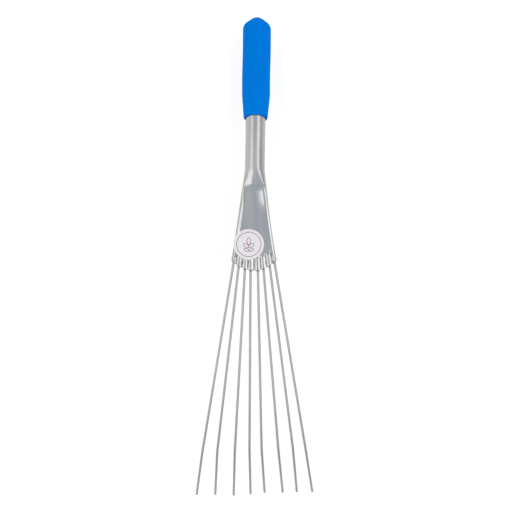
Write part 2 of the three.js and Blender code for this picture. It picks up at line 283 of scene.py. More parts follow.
for i in range(len(EXIT_X)):
    print(f"wire {i + 1} leaves the head at x {EXIT_X[i] / MM:6.1f} mm, y {EXIT_Y[i] / MM:5.1f} mm")

# %% [markdown]
# The head in section. High on the shank the section is a circle. Down the neck its crown falls
# in a short cone. On the right the round side shrinks early into a shoulder, and on the left the
# tube wall turns into a flat facet. Then a step, where the press closed, leads to the flat pan.
# Each side of the pan is a tight round fold, then a straight bevel, then a low ridge that fades
# out. Between the wires long dimples with straight flanks press the two sheets towards each other.


# %% The head in section
def rounded(height, inward, shoulder):
    """A flat top at some height that falls in a quarter ellipse over the shoulder's width."""
    off_top = np.clip(1 - inward / shoulder, 0, 1)
    return height * np.sqrt(1 - off_top**2)


def creased(run, crease):
    """0 before a crease and the run after it, with the crease rounded over some width."""
    within = np.clip(run, 0, crease)
    return within**2 / (2 * crease) + np.maximum(run - crease, 0)


def pressed_side(height, inward, fold_width, bevel_width):
    """The sheet's tight fold at the very side of the pan, and a straight bevel inside it."""
    bevel = height - tan(BEVEL_ANGLE) * creased(bevel_width - inward, BEVEL_CREASE)
    fold = height * np.clip(inward / fold_width, 0, 1) ** FOLD_POWER
    return np.minimum(fold, bevel)


def left_side_height(y, height, inward):
    """The left fold and bevel widen down the pan, and turn into one round over the crimps."""
    opened = smoothstep(LEFT_OPENING_Y - y, 0, LEFT_OPENING_LENGTH)
    fold_width = lerp(LEFT_FOLD_TOP, LEFT_FOLD, opened)
    bevel_width = lerp(LEFT_BEVEL_TOP, LEFT_BEVEL, opened)
    pressed = pressed_side(height, inward, fold_width, bevel_width)
    closed = smoothstep(LEFT_CLOSING_Y - y, 0, LEFT_CLOSING_LENGTH)
    return lerp(pressed, rounded(height, inward, EDGE_SHOULDER), closed)


def right_shoulder(y):
    """How far in the right side's round reaches: to the middle on the tube, then less."""
    low_share = np.clip((HEAD_LENGTH - y) / HEAD_LENGTH, 0, 1)
    turn = smoothstep(NECK_TOP_Y - y, 0, RIGHT_TURN_LENGTH)
    return lerp(side_half_width(y), lerp(RIGHT_SHOULDER, EDGE_SHOULDER, low_share), turn)


def neck_height(x, y, inward, right_width):
    """The neck's face: a falling crown, which a flat facet cuts on the left."""
    crown = lerp(TUBE_RADIUS, CONE_END_HEIGHT, smoothstep(NECK_TOP_Y - y, 0, CONE_LENGTH))
    turn = smoothstep(NECK_TOP_Y - y, FACET_TURN_START, FACET_TURN_END)
    entry = smoothstep(NECK_TOP_Y - y, 0, FACET_ENTRY_LENGTH)
    softer = smoothstep(NECK_TOP_Y - y, FACET_ENTRY_LENGTH, FACET_CREASE_LENGTH)
    crease = lerp(FACET_CREASE_TOP, FACET_CREASE_END, softer)
    past_start = -x - lerp(FACET_START, FACET_NEAREST, entry)
    facet = crown - tan(FACET_ANGLE) * creased(past_start, crease)
    left_wall = rounded(crown, inward, lerp(side_half_width(y), FACET_SHOULDER, turn))
    return np.where(x < 0, np.minimum(left_wall, facet), rounded(crown, inward, right_width))


def pan_height(x, y, inward, right_width):
    """The pan's face: flat, with a ridge that fades out along each side."""
    below = STEP_TOP_Y - RIDGE_SETBACK - y
    rise = smoothstep(below, 0, RIDGE_RISE_LENGTH)
    fall = smoothstep(below, RIDGE_FULL_LENGTH, RIDGE_LENGTH)
    ridge = np.where(x < 0, LEFT_RIDGE, RIGHT_RIDGE) * rise * (1 - fall)
    crest_start = np.where(x < 0, LEFT_BEVEL, right_width) + RIDGE_CREST
    flank = np.where(x < 0, LEFT_RIDGE_FLANK, RIGHT_RIDGE_FLANK)
    down_flank = np.clip((inward - crest_start) / flank, 0, 1)
    height = PAN_HALF_THICKNESS + ridge * (1 - down_flank) ** RIDGE_BEND
    right_side = pressed_side(height, inward, RIGHT_FOLD, RIGHT_BEVEL)
    return np.where(x < 0, left_side_height(y, height, inward), right_side)


def face_height(x, y):
    """The face without its crimps: the neck, and a step down to the pan."""
    inward = side_half_width(y) - np.abs(x)
    right_width = right_shoulder(y)
    neck = neck_height(x, y, inward, right_width)
    pan = pan_height(x, y, inward, right_width)
    return lerp(neck, pan, smoothstep(STEP_TOP_Y - y, 0, STEP_LENGTH))


def pressed_share(x, y):
    """0 on a wire and above the crimps, and 1 in the bottom of a dimple."""
    valley = valley_share(x, y)
    reach = CRIMP_LENGTH - CRIMP_ROUND * (1 - valley) - (y - edge_y(x))
    return valley * smoothstep(reach, 0, CRIMP_RAMP)


def crimped_height(x, y):
    """The face with its dimples. They share one slope, so a wide one is a deep one."""
    face = face_height(x, y)
    depth = CRIMP_SLOPE * valley_and_gap(x, y)[1] / 2
    return face - np.clip(face - SHEET, 0, depth) * pressed_share(x, y)


middle = float(crimped_height(np.array(0.0), np.array(HEAD_LENGTH / 2)))
print(f"the pan is {2 * middle / MM:.1f} mm thick over its middle")

# %% [markdown]
# Now the skin itself. Columns crowd round the folds and over the dimples, and the rows bend
# from straight across the neck to the arc of the crimped edge. At the edge the sheet turns in
# over a rounded rim and runs back up inside, so that each wire comes out of a dark opening.

# %% Skin of the shank and head
SIDE_COLUMNS = 14
GAP_COLUMNS = 18
NECK_ROWS = 60
PAN_ROWS = 60
CRIMP_ROWS = 50
RIM_STEPS = 8
SEAM_HALF_GAP = 0.05 * MM
INNER_RISES = [2 * MM, 5 * MM, 9 * MM]


def side_columns(side_share):
    angles = np.linspace(0, pi / 2, SIDE_COLUMNS, endpoint=False)
    return 1 - side_share * (1 - np.cos(angles))


columns = list(side_columns(1 - EXIT_SHARES[-1]))
for right, left in zip(EXIT_SHARES[:0:-1], EXIT_SHARES[-2::-1]):
    columns += list(np.linspace(right, left, GAP_COLUMNS, endpoint=False))
columns.append(EXIT_SHARES[0])
columns += list(-side_columns(1 + EXIT_SHARES[0])[::-1])
columns = np.array(columns)


def closed_ring(x, y, z):
    """Both faces of one ring, which meet at the two sides."""
    z = z.copy()
    z[0] = z[-1] = 0
    return np.concatenate([leaned(x, y, z), leaned(x, y, -z)[-2:0:-1]])


def head_ring(side_y, edge_and_shade_share):
    """One ring round the head, straight across at edge share 0 and along the edge at 1."""
    x = columns * side_half_width(side_y)
    y = side_y + edge_and_shade_share * (rim_y(x) - EDGE_BULGE)
    return x, y, crimped_height(x, y)


def inner_ring(rise):
    """A ring on the inner side of the sheet, above the edge by some rise."""
    x = columns * (side_half_width(EDGE_BULGE + rise) - SHEET)
    y = rim_y(x) + SHEET / 2 + rise
    return x, y, np.maximum(crimped_height(x, y) - SHEET, SEAM_HALF_GAP)


tube_end_y = GRIP_MOUTH_Y + GRIP_LENGTH - GRIP_END_WALL - GRIP_RADIUS
rings = [closed_ring(*head_ring(y, 0)) for y in (tube_end_y, GRIP_MOUTH_Y)]
for y in np.linspace(NECK_TOP_Y, HEAD_LENGTH, NECK_ROWS):
    rings.append(closed_ring(*head_ring(y, 0)))
crimp_top_share = 1 - CRIMP_LENGTH / HEAD_LENGTH
shares = list(np.linspace(0, crimp_top_share, PAN_ROWS)[1:])
shares += list(np.linspace(crimp_top_share, 1, CRIMP_ROWS)[1:])
rim_start_y = EDGE_BULGE + SHEET / 2
for share in shares:
    rings.append(closed_ring(*head_ring(lerp(HEAD_LENGTH, rim_start_y, share), share)))
outer, inner = head_ring(rim_start_y, 1), inner_ring(0)
for angle in np.linspace(0, pi, RIM_STEPS + 1)[1:]:
    x, y, z = (lerp(o, i, (1 - cos(angle)) / 2) for o, i in zip(outer, inner))
    rings.append(closed_ring(x, y - SHEET / 2 * sin(angle), z))
for rise in INNER_RISES:
    rings.append(closed_ring(*inner_ring(rise)))
head_skin = skin_over("pressed_head", rings)
print("head faces:", len(head_skin.data.polygons))

# %% [markdown]
# The bottoms of the dimples are darkened in specks. Round each wire the sheet's cut edge and
# inner side are dark: partly a bare cut edge, partly painted shade in the opening. The tube is
# duller than the pan, which the press smoothed. Towards the edge the plating is tinted warmer, a
# painted reflection colour that offsets the cool ceiling it mirrors, and a few small dark spots
# are added. Five numbers on every point of the skin keep those places, and the steel's material
# reads them.

# %% Where the head is darkened, tinted and dull
RIM_BAND = 2 * MM
RIM_FULL_SHARE = 1 / 3
INSIDE_SHARE = 0.6
CRIMP_TINT_SHARE = 0.4
TINT_REACH = 46 * MM
TINT_FADE = 26 * MM
DARK_SPOT_PLACE_SHARES = [(-0.777, 0.19), (-0.521, 0.114), (-0.252, 0.117), (0.768, 0.21), (0.855, 0.099)]
DARK_SPOT_WIDTH = 1 * MM
DARK_SPOT_LENGTH = 2 * MM

at_x, at_y, at_z = np.array([v.co for v in head_skin.data.vertices]).T
near_rim = 1 - smoothstep(at_y - rim_y(at_x), RIM_FULL_SHARE * RIM_BAND, RIM_BAND)
below_face = crimped_height(at_x, at_y) - np.abs(at_z)
below_skin = np.minimum(below_face, side_half_width(at_y) - np.abs(at_x))
# The sheet's inner side near the crimps gets painted shade.
inside = (below_skin > SHEET * INSIDE_SHARE) & (at_y < CRIMP_LENGTH + EDGE_BULGE)
# Round each wire's exit: partly the bare cut edge, partly painted shade of the opening.
round_wire_edge_and_shade = near_rim * (1 - valley_share(at_x, at_y)) ** 2
above_edge = at_y - edge_y(at_x)
# A warmer tint towards the edge: painted reflection colour that offsets the cool ceiling the metal
# mirrors.
reflection_tint_share = lerp(
    smoothstep(TINT_REACH - above_edge, 0, TINT_FADE),
    smoothstep(CRIMP_LENGTH - above_edge, 0, CRIMP_RAMP),
    CRIMP_TINT_SHARE,
)
# A few small dark spots on the face near the crimps.
dark_spots = np.zeros_like(at_x)
for width_share, length_share in DARK_SPOT_PLACE_SHARES:
    across = (at_x - width_share * HEAD_HALF_WIDTH) / DARK_SPOT_WIDTH
    along = (at_y - length_share * HEAD_LENGTH) / DARK_SPOT_LENGTH
    dark_spots = np.maximum(dark_spots, np.exp(-(across**2) - along**2) * (at_z > 0))
for name, values in (
    ("dimple_depth", pressed_share(at_x, at_y)),
    ("cut_edge_and_shade", np.where(inside, 1.0, round_wire_edge_and_shade)),
    ("pressed_flat", smoothstep(NECK_TOP_Y - at_y, 0, NECK_LENGTH)),
    ("reflection_tint", reflection_tint_share),
    ("dark_spot", dark_spots),
):
    layer = head_skin.data.attributes.new(name, "FLOAT", "POINT")
    layer.data.foreach_set("value", values)
    print(f"{name} from {values.min():.2f} to {values.max():.2f}")

# %% [markdown]
# The rake lies on the crown end of its sleeve and on the tips of its tines, so the whole tool
# tips forward by a small angle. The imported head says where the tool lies: the smooth head is
# turned by that angle and moved until both boxes share their middle, and every other piece
# follows with the same move.

# %% Lay the tool down
tip_low_y = -TINE_REACH - TIP_LENGTH * cos(TIP_DROP)
tip_low_z = -TIP_LENGTH * sin(TIP_DROP) - WIRE_RADIUS
shoulder_y = GRIP_MOUTH_Y + GRIP_LENGTH - GRIP_RADIUS
rest_tilt = -atan2(-GRIP_RADIUS - tip_low_z, shoulder_y - tip_low_y)
turn = Matrix.Rotation(rest_tilt, 4, "X")
head_skin.data.transform(turn)
corners = np.array([v.co for v in head_skin.data.vertices])
low, high = (np.array(c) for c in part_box("shank_head"))
shift = Vector((low + high) / 2 - (corners.min(axis=0) + corners.max(axis=0)) / 2)
head_skin.data.transform(Matrix.Translation(shift))
tool_frame = Matrix.Translation(shift) @ turn
print(f"the tool tips forward by {degrees(-rest_tilt):.2f} degrees")
size_gap = (corners.max(axis=0) - corners.min(axis=0)) - (high - low)
print("smooth head against packed head, mm:", np.round(size_gap / MM, 3))


def set_down(piece, node):
    """Lays a piece drawn in the tool's own frame down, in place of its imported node."""
    piece.data.transform(tool_frame)
    stand_in(piece, node)


def stand_in(piece, node):
    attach(piece, "root")
    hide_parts(node)


stand_in(head_skin, "shank_head")

# %% [markdown]
# Each tine is a straight run of drawn wire, a soft bend and a straight tip. Its root runs up
# inside the head. A skin over small circles makes it, with the circles close together only
# round the bend and at the tip, where the cut end is dressed to a small dome.

# %% Tines
WIRE_SIDES = 24
BEND_POINTS = 16
TIP_DOME_STEPS = 5
TIP_DOME_SHARE = 0.6
DOWN = Vector((0, -1, 0))


def tine_stations(reach, tip_way):
    """Places along the middle of a wire, each with its direction and its share of the radius."""
    corner = DOWN * reach
    setback = TIP_BEND_RADIUS * tan(TIP_DROP / 2)
    start, end = corner - DOWN * setback, corner + tip_way * setback
    stations = [(-DOWN * WIRE_ROOT, DOWN, 1.0)]
    for share in np.linspace(0, 1, BEND_POINTS):
        at = start.lerp(corner, share).lerp(corner.lerp(end, share), share)
        stations.append((at, DOWN.lerp(tip_way, share).normalized(), 1.0))
    tip_end = corner + tip_way * TIP_LENGTH
    for angle in np.linspace(0, pi / 2, TIP_DOME_STEPS + 1)[:-1]:
        back = WIRE_RADIUS * TIP_DOME_SHARE * (1 - sin(angle))
        stations.append((tip_end - tip_way * back, tip_way, cos(angle)))
    return stations


def wire_ring(at, along, girth_share):
    """A circle of points round the wire, square to its direction."""
    across = (Vector((1, 0, 0)) - along * along.x).normalized()
    up = along.cross(across)
    angles = np.linspace(0, 2 * pi, WIRE_SIDES, endpoint=False)
    return [at + (across * cos(a) + up * sin(a)) * WIRE_RADIUS * girth_share for a in angles]


tine_pieces = []
for i, (reach_share, tip_set) in enumerate(zip(REACH_SHARES, TIP_SET_DEGREES)):
    reach = (EXIT_Y[i] + TINE_REACH * reach_share) / cos(SPREAD[i])
    dropped = Vector((0, -cos(TIP_DROP), -sin(TIP_DROP)))
    tip_way = Matrix.Rotation(radians(tip_set), 3, "Z") @ dropped
    rings = [wire_ring(*station) for station in tine_stations(reach, tip_way)]
    piece = skin_over(f"wire_tine_{i + 1}", rings)
    swing = Matrix.Rotation(SPREAD[i], 4, "Z")
    piece.data.transform(Matrix.Translation((EXIT_X[i], EXIT_Y[i], 0)) @ swing)
    set_down(piece, f"tine_{i + 1}")
    tine_pieces.append(piece)
print(f"{len(tine_pieces)} tines, {WIRE_RADIUS * 2 / MM:.1f} mm thick")

# %% [markdown]
# The grip is a dipped vinyl sleeve: nearly straight, tapered to a rolled lip at its mouth, and
# closed by a blunt cone with a soft shoulder. It is a profile turned about the tube's axis.
# Real vinyl is never quite straight, so the radius wanders by about a tenth of a millimetre.

# %% Grip
GRIP_BORE_RADIUS = TUBE_RADIUS + FIT_GAP
GRIP_BORE_DEPTH = 30 * MM
GRIP_BORE_EDGE = 0.5 * MM
GRIP_LIP = 1.6 * MM
GRIP_SHOULDER = 3 * MM
GRIP_END_ANGLE = radians(45)
GRIP_CROWN = 2 * MM
GRIP_CROWN_FILLET = 8.3 * MM
GRIP_SIDES = 128
GRIP_SMOOTH_DEGREES = 35
TAPER_POINTS = 14
BODY_POINTS = 40
ARC_STEPS = 10
WANDER = 0.12 * MM
WANDER_WAVE = 9 * MM
WANDER_START = 5 * MM
WANDER_FULL = 30 * MM
WANDER_ANGLE = 0.4


def arc(centre_r, centre_y, radius, start, end):
    angles = np.linspace(start, end, ARC_STEPS + 1)
    return [(centre_r + radius * cos(a), centre_y + radius * sin(a)) for a in angles]


cone_run = (
    GRIP_RADIUS
    - GRIP_SHOULDER * (1 - sin(GRIP_END_ANGLE))
    - GRIP_CROWN
    - GRIP_CROWN_FILLET * sin(GRIP_END_ANGLE)
)
shoulder_centre_y = (
    GRIP_LENGTH
    - GRIP_CROWN_FILLET * (1 - cos(GRIP_END_ANGLE))
    - cone_run * tan(GRIP_END_ANGLE)
    - GRIP_SHOULDER * cos(GRIP_END_ANGLE)
)
grip_profile = [(GRIP_BORE_RADIUS, GRIP_BORE_DEPTH), (GRIP_BORE_RADIUS, GRIP_BORE_EDGE)]
grip_profile += arc(GRIP_MOUTH_RADIUS - GRIP_LIP, GRIP_LIP, GRIP_LIP, -pi / 2, 0)
for y in np.linspace(GRIP_LIP, GRIP_TAPER, TAPER_POINTS)[1:]:
    taper = lerp(GRIP_MOUTH_RADIUS, GRIP_RADIUS, (y - GRIP_LIP) / (GRIP_TAPER - GRIP_LIP))
    grip_profile.append((taper, y))
for y in np.linspace(GRIP_TAPER, shoulder_centre_y, BODY_POINTS)[1:-1]:
    grip_profile.append((GRIP_RADIUS, y))
grip_profile += arc(
    GRIP_RADIUS - GRIP_SHOULDER, shoulder_centre_y, GRIP_SHOULDER, 0, pi / 2 - GRIP_END_ANGLE
)
grip_profile += arc(
    GRIP_CROWN, GRIP_LENGTH - GRIP_CROWN_FILLET, GRIP_CROWN_FILLET, pi / 2 - GRIP_END_ANGLE, pi / 2
)
grip_profile.append((GRIP_CROWN / 2, GRIP_LENGTH))
angles = np.linspace(0, 2 * pi, GRIP_SIDES, endpoint=False)
rings = []
for radius, y in grip_profile:
    wander = WANDER * sin(y / WANDER_WAVE) * smoothstep(y, WANDER_START, WANDER_FULL)
    girth = radius + wander * np.cos(angles - WANDER_ANGLE) * (radius > GRIP_BORE_RADIUS)
    x, z = girth * np.cos(angles), -girth * np.sin(angles)
    rings.append(np.stack([x, np.full_like(angles, y), z], axis=-1))
grip_piece = skin_over("vinyl_grip", rings, GRIP_SMOOTH_DEGREES)
lean = Matrix.Rotation(-HANDLE_LEAN, 4, "Z")
on_pivot = Matrix.Translation((0, LEAN_PIVOT_Y, 0))
above_pivot = Matrix.Translation((0, GRIP_MOUTH_Y - LEAN_PIVOT_Y, 0))
grip_piece.data.transform(on_pivot @ lean @ above_pivot)
set_down(grip_piece, "grip")
print(f"grip {GRIP_LENGTH / MM:.0f} mm long and {2 * GRIP_RADIUS / MM:.1f} mm thick")

# %% [markdown]
# The label is a round, rather stiff sticker. It lies flat on the pan, bends down a little where
# it reaches over the left bevel, and sags a little into the tops of the dimples under its
# lower half. Rings of points over the face, lifted by the sticker's thickness, follow all that.

# %% Label
LABEL_THICKNESS = 0.2 * MM
LABEL_LIFT = 0.06 * MM
LABEL_RINGS = 44
LABEL_SIDES = 160
LABEL_SMOOTH_DEGREES = 30
LABEL_STIFF_SHARE = 0.65
SAG_SHARE = 0.3
PROBE = 0.1 * MM


def label_height(x, y):
    """The sticker's back: it bends down over the bevel less than the sheet does."""
    face = face_height(x, y)
    stiff = lerp(face, np.maximum(face, PAN_HALF_THICKNESS), LABEL_STIFF_SHARE)
    return stiff - SAG_SHARE * (face - crimped_height(x, y))


def off_face(x, y, distance):
    """Points at some distance from the sticker's back, square to it."""
    slope_x = (label_height(x + PROBE, y) - label_height(x - PROBE, y)) / (2 * PROBE)
    slope_y = (label_height(x, y + PROBE) - label_height(x, y - PROBE)) / (2 * PROBE)
    steepness = np.sqrt(1 + slope_x**2 + slope_y**2)
    lift = distance / steepness
    return leaned(x - slope_x * lift, y - slope_y * lift, label_height(x, y) + lift)


angles = np.linspace(0, 2 * pi, LABEL_SIDES, endpoint=False)
radii = LABEL_RADIUS * np.sin(np.linspace(0, pi / 2, LABEL_RINGS + 1))[1:]
rings = []
for radius in radii:
    x = LABEL_X + radius * np.cos(angles)
    rings.append(off_face(x, LABEL_Y + radius * np.sin(angles), LABEL_LIFT))
for radius in radii[::-1]:
    x = LABEL_X + radius * np.cos(angles)
    rings.append(off_face(x, LABEL_Y + radius * np.sin(angles), LABEL_LIFT + LABEL_THICKNESS))
label_piece = skin_over("round_label", rings, LABEL_SMOOTH_DEGREES)

label_map = label_piece.data.uv_layers.new(name="label")
for loop in label_piece.data.loops:
    at = label_piece.data.vertices[loop.vertex_index].co
    across, upward = (at.x - LABEL_X) / LABEL_RADIUS, (at.y - LABEL_Y) / LABEL_RADIUS
    label_map.data[loop.index].uv = (across, upward)
set_down(label_piece, "label")
print(f"label {2 * LABEL_RADIUS / MM:.1f} mm across")

# %% [markdown]
# Materials are node graphs, and so is the light of the room. One small class adds nodes to any
# graph, and a second one starts a material and hands back its shader. Nearly every finish
# needs some unevenness, so a noise texture is one of its calls. Its scale is about how many
# spots there are in a metre, and a small stretch number draws them out along that axis.


# %% Helpers for nodes
class Nodes:
    """A node tree with short calls for the nodes that are used often."""

    def __init__(self, tree):
        self.tree = tree

    def add(self, kind, **settings):
        node = self.tree.nodes.new(kind)
        for name, value in settings.items():
            setattr(node, name, value)
        return node

    def feed(self, value, socket):
        """Links a socket to another node's output, or sets its number or colour."""
        if isinstance(value, tuple):
            socket.default_value = (*value, 1)
        elif isinstance(value, (int, float)):
            socket.default_value = value
        else:
            self.tree.links.new(value, socket)

    def math(self, operation, *values):
        node = self.add("ShaderNodeMath", operation=operation)
        for socket, value in zip(node.inputs, values):
            self.feed(value, socket)
        return node.outputs[0]

    def parts(self, vector):
        node = self.add("ShaderNodeSeparateXYZ")
        self.feed(vector, node.inputs[0])
        return node.outputs

    def span(self, value, low, high):
        """Turns 0 to 1 into low to high."""
        node = self.add("ShaderNodeMapRange")
        node.inputs["To Min"].default_value = low
        node.inputs["To Max"].default_value = high
        self.feed(value, node.inputs["Value"])
        return node.outputs["Result"]

    def ramp(self, value, start, end):
        """Turns start to end into 0 to 1, gently at both ends."""
        node = self.add("ShaderNodeMapRange", interpolation_type="SMOOTHSTEP")
        node.inputs["From Min"].default_value = start
        node.inputs["From Max"].default_value = end
        self.feed(value, node.inputs["Value"])
        return node.outputs["Result"]

    def blend(self, share, first, second):
        node = self.add("ShaderNodeMix", data_type="RGBA")
        self.feed(share, node.inputs["Factor"])
        self.feed(first, node.inputs["A"])
        self.feed(second, node.inputs["B"])
        return node.outputs["Result"]


class Finish(Nodes):
    """The nodes of one material."""

    def __init__(self, name):
        self.material = bpy.data.materials.new(name)
        self.material.use_nodes = True
        super().__init__(self.material.node_tree)
        self.shader = self.tree.nodes["Principled BSDF"]
        self.place = self.add("ShaderNodeTexCoord").outputs["Object"]

    def noise(self, scale, stretch=(1, 1, 1), detail=2):
        spread = self.add("ShaderNodeMapping")
        spread.inputs["Scale"].default_value = stretch
        self.feed(self.place, spread.inputs["Vector"])
        node = self.add("ShaderNodeTexNoise")
        node.inputs["Scale"].default_value = scale
        node.inputs["Detail"].default_value = detail
        self.feed(spread.outputs[0], node.inputs["Vector"])
        return node.outputs["Fac"]

    def attribute(self, name):
        return self.add("ShaderNodeAttribute", attribute_name=name).outputs["Fac"]

    def bump(self, height, distance, strength, after=None):
        node = self.add("ShaderNodeBump")
        node.inputs["Distance"].default_value = distance
        node.inputs["Strength"].default_value = strength
        self.feed(height, node.inputs["Height"])
        if after is not None:
            self.feed(after, node.inputs["Normal"])
        return node.outputs["Normal"]

    def dress(self, pieces, **inputs):
        """Feeds the shader's named inputs and gives the material to the pieces."""
        for name, value in inputs.items():
            self.feed(value, self.shader.inputs[name.replace("_", " ")])
        for piece in pieces:
            piece.data.materials.append(self.material)
        print(self.material.name, "on", len(pieces), "piece(s)")


# %% [markdown]
# Satin steel. The plating is bright but not polished: it blurs what it mirrors, and long faint
# draw marks run down the tube. Slow, shallow waves in the sheet make the highlights wander, and
# soft streaks of another tone run lengthways, as rolled sheet has them.

# %% Satin steel
DULL_STEEL = (0.42, 0.42, 0.42)
BRIGHT_STEEL = (0.5, 0.49, 0.465)
# Warmer steel towards the edge, a painted reflection colour.
REFLECTION_TINTED_STEEL = (0.445, 0.432, 0.41)
# Darkening in specks for the dimple bottoms.
DIMPLE_DARK = (0.17, 0.165, 0.15)
# Colour of a few small dark spots near the crimps.
DARK_SPOT = (0.1, 0.097, 0.09)
# Colour of the bare cut edge, also used for painted shade inside the sheet round each wire.
BARE_EDGE_AND_SHADE = (0.05, 0.05, 0.048)
STREAK_SCALE = 110
STREAK_STRETCH = (1, 0.15, 1)
STREAK_RANGE = (0.3, 0.7)
SPECK_SCALE = 420
SPECK_SPAN = (-1.6, 2.6)
MOST_DIMPLE_DARK = 0.5
MOST_DARK_SPOT = 0.9
MOST_EDGE_AND_SHADE = 0.85
MARK_SCALE = 900
MARK_STRETCH = (1, 0.06, 1)
MARK_DEPTH = 0.01 * MM
MARK_STRENGTH = 0.5
WAVE_SCALE = 45
WAVE_STRETCH = (1, 0.3, 1)
WAVE_DEPTH = 0.2 * MM
WAVE_STRENGTH = 0.3
STEEL_ROUGHNESS = (0.33, 0.43)
PRESSED_SMOOTHING = 0.09

satin = Finish("satin_steel")
streaks = satin.ramp(satin.noise(STREAK_SCALE, STREAK_STRETCH), *STREAK_RANGE)
plating = satin.blend(streaks, DULL_STEEL, BRIGHT_STEEL)
# Painted reflection tint: warmer towards the edge and over the crimps.
plating = satin.blend(satin.attribute("reflection_tint"), plating, REFLECTION_TINTED_STEEL)
# Darker specks, strongest in the bottoms of the dimples.
specks = satin.math("MAXIMUM", satin.span(satin.noise(SPECK_SCALE), *SPECK_SPAN), 0.0)
dimple_specks = satin.math("MULTIPLY", satin.attribute("dimple_depth"), specks)
dimple_dark_share = satin.math("MINIMUM", satin.math("MULTIPLY", dimple_specks, dimple_specks), MOST_DIMPLE_DARK)
darkened = satin.blend(dimple_dark_share, plating, DIMPLE_DARK)
# The small dark spots near the crimps.
dark_spot_share = satin.math("MULTIPLY", satin.attribute("dark_spot"), MOST_DARK_SPOT)
darkened = satin.blend(dark_spot_share, darkened, DARK_SPOT)
# Bare cut edge round each wire, with painted shade over it and on the sheet's inner side.
edge_and_shade_share = satin.math("MULTIPLY", satin.attribute("cut_edge_and_shade"), MOST_EDGE_AND_SHADE)
edged_and_shaded = satin.blend(edge_and_shade_share, darkened, BARE_EDGE_AND_SHADE)
drawn = satin.noise(MARK_SCALE, MARK_STRETCH)
smoothed = satin.math("MULTIPLY", satin.attribute("pressed_flat"), PRESSED_SMOOTHING)
dullness = satin.math("SUBTRACT", satin.span(drawn, *STEEL_ROUGHNESS), smoothed)
waves = satin.bump(satin.noise(WAVE_SCALE, WAVE_STRETCH, detail=1), WAVE_DEPTH, WAVE_STRENGTH)
marks = satin.bump(drawn, MARK_DEPTH, MARK_STRENGTH, after=waves)
satin.dress([head_skin], Metallic=1.0, Base_Color=edged_and_shaded, Roughness=dullness, Normal=marks)

# %% [markdown]
# Spring wire is drawn through a die, so it is a little darker and smoother along its length
# than the plated sheet. Towards the tips it turns darker and warmer: partly plating that soil
# rubs thin, partly a painted darker reflection.

# %% Spring wire
DULL_WIRE = (0.395, 0.387, 0.375)
BRIGHT_WIRE = (0.45, 0.44, 0.43)
WORN_AND_SHADED_WIRE = (0.37, 0.35, 0.325)
TIP_DARKENING_START_Y = -80 * MM
TIP_DARKENING_END_Y = -200 * MM
TONE_SCALE = 120
TONE_STRETCH = (1, 0.15, 1)
GROOVE_SCALE = 1500
GROOVE_STRETCH = (1, 0.04, 1)
GROOVE_DEPTH = 0.01 * MM
GROOVE_STRENGTH = 0.4
WIRE_ROUGHNESS = (0.3, 0.42)

wire = Finish("spring_wire")
tones = wire.noise(TONE_SCALE, TONE_STRETCH, detail=3)
bright = wire.blend(tones, DULL_WIRE, BRIGHT_WIRE)
# Darker and warmer towards the tips: partly worn plating, partly a painted darker reflection.
towards_tip = wire.ramp(wire.parts(wire.place)["Y"], TIP_DARKENING_START_Y, TIP_DARKENING_END_Y)
worn_and_shaded = wire.blend(towards_tip, bright, WORN_AND_SHADED_WIRE)
drawn = wire.noise(GROOVE_SCALE, GROOVE_STRETCH)
grooves = wire.bump(drawn, GROOVE_DEPTH, GROOVE_STRENGTH)
dullness = wire.span(drawn, *WIRE_ROUGHNESS)
wire.dress(tine_pieces, Metallic=1.0, Base_Color=worn_and_shaded, Roughness=dullness, Normal=grooves)

# %% [markdown]
# Vinyl. The sleeve is dipped, so its colour is even and its skin soft: broad weak highlights
# over a very fine pebble. A low index of refraction keeps its edges from turning pale.

# %% Blue vinyl
DEEP_BLUE = (0.0, 0.212, 0.795)
LIGHT_BLUE = (0.0, 0.232, 0.875)
BLUE_SCALE = 90
DULLNESS_SCALE = 400
PEBBLE_SCALE = 1800
PEBBLE_DEPTH = 0.03 * MM
PEBBLE_STRENGTH = 0.3
VINYL_ROUGHNESS = (0.45, 0.6)
VINYL_SPECULAR = 0.1
VINYL_IOR = 1.1

vinyl = Finish("blue_vinyl")
blue = vinyl.blend(vinyl.noise(BLUE_SCALE), DEEP_BLUE, LIGHT_BLUE)
dullness = vinyl.span(vinyl.noise(DULLNESS_SCALE), *VINYL_ROUGHNESS)
pebble = vinyl.bump(vinyl.noise(PEBBLE_SCALE, detail=3), PEBBLE_DEPTH, PEBBLE_STRENGTH)
vinyl.feed(VINYL_SPECULAR, vinyl.shader.inputs["Specular IOR Level"])
vinyl.dress([grip_piece], IOR=VINYL_IOR, Base_Color=blue, Roughness=dullness, Normal=pebble)

# %% [markdown]
# The label's print is a plain ring and a small sprig in dark red on coated paper. Each mark is
# a distance worked out from the label's own map, so it stays sharp at any size.

# %% Label paper
PAPER = (0.905, 0.9, 0.935)
INK = (0.26, 0.05, 0.07)
PAPER_SCALE = 300
PAPER_ROUGHNESS = (0.4, 0.55)
PRINT_WIDTH_SHARE = 0.06
PRINT_SHARPNESS = 40
RING_SHARE = 0.8
LEAF_BOW_SHARE = 0.62
LEAF_SHARES = [(-0.05, 0.5), (-0.2, 0.42), (-0.2, 0.42), (-0.42, 0.34), (-0.42, 0.34)]
LEAF_DEGREES = [90, 35, 145, 20, 160]

paper = Finish("label_paper")
on_label = paper.parts(paper.add("ShaderNodeUVMap", uv_map="label").outputs[0])
across, upward = on_label["X"], on_label["Y"]


def distance_from(u, v):
    """How far a point of the label lies from a place on it, in shares of the label's radius."""
    du, dv = paper.math("SUBTRACT", across, u), paper.math("SUBTRACT", upward, v)
    squares = [paper.math("MULTIPLY", d, d) for d in (du, dv)]
    return paper.math("SQRT", paper.math("ADD", *squares))


